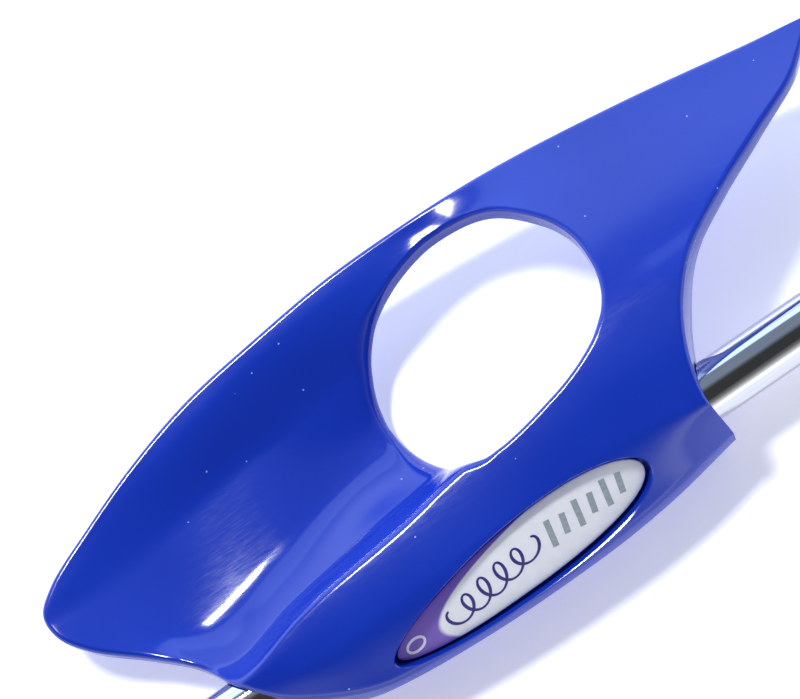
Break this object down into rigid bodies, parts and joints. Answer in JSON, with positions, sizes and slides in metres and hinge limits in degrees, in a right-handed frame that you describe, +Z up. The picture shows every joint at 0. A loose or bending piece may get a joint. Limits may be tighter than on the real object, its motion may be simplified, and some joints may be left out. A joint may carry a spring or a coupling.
{
  "type": "finger ring ballpoint pen",
  "caption": "Slim twist-action ballpoint held in a moulded holder with a fingertip scoop, a finger hole and a pointed wing, for a relaxed writing grip.",
  "frame": {"origin": "on the holder's flat underside, straight below the barrel's axis, where the resting pen meets the table", "axes": "+X along the barrel towards its rear end, +Y from the barrel towards the holder's outer rim, +Z up from the table"},
  "size_m": [0.1374, 0.04, 0.0144],
  "materials": {
    "holder_plastic": "glossy royal blue injection-moulded ABS",
    "label": "white printed label with a violet front end",
    "chrome_plate": "polished chrome plate on brass",
    "brass": "turned brass",
    "steel": "turned stainless steel",
    "white_plastic": "white moulded acetal",
    "refill_plastic": "translucent extruded polypropylene",
    "ink": "blue ballpoint ink",
    "grease": "pale follower grease",
    "rubber": "black nitrile rubber",
    "carbide": "polished tungsten carbide"
  },
  "bodies": {
    "holder": {"ring_holder": "holder_plastic", "label_plate": "label", "nose_cone": "chrome_plate", "nose_insert": "brass", "front_barrel": "chrome_plate", "centre_ring": "chrome_plate", "mechanism_housing": "brass", "friction_ring": "rubber"},
    "twist_barrel": {"rear_barrel": "chrome_plate", "rear_plug": "white_plastic", "end_cap": "chrome_plate", "cam_rotor": "brass"},
    "refill": {"refill_carrier": "steel", "follower_pin": "steel", "refill_plug": "white_plastic", "refill_tube": "refill_plastic", "ink_column": "ink", "ink_follower": "grease", "refill_tip": "steel", "writing_ball": "carbide"}
  },
  "joints": [
    {"name": "barrel_twist", "type": "hinge", "parent": "holder", "child": "twist_barrel", "pos_m": [0.066, 0, 0.0056], "axis": [1, 0, 0], "range_deg": [0, 180]},
    {"name": "refill_slide", "type": "slide", "parent": "holder", "child": "refill", "axis": [1, 0, 0], "range_m": [0, 0.005]}
  ],
  "couplings": [
    {"joint": "barrel_twist", "follows": "refill_slide", "rad_per_m": 628.3}
  ]
}
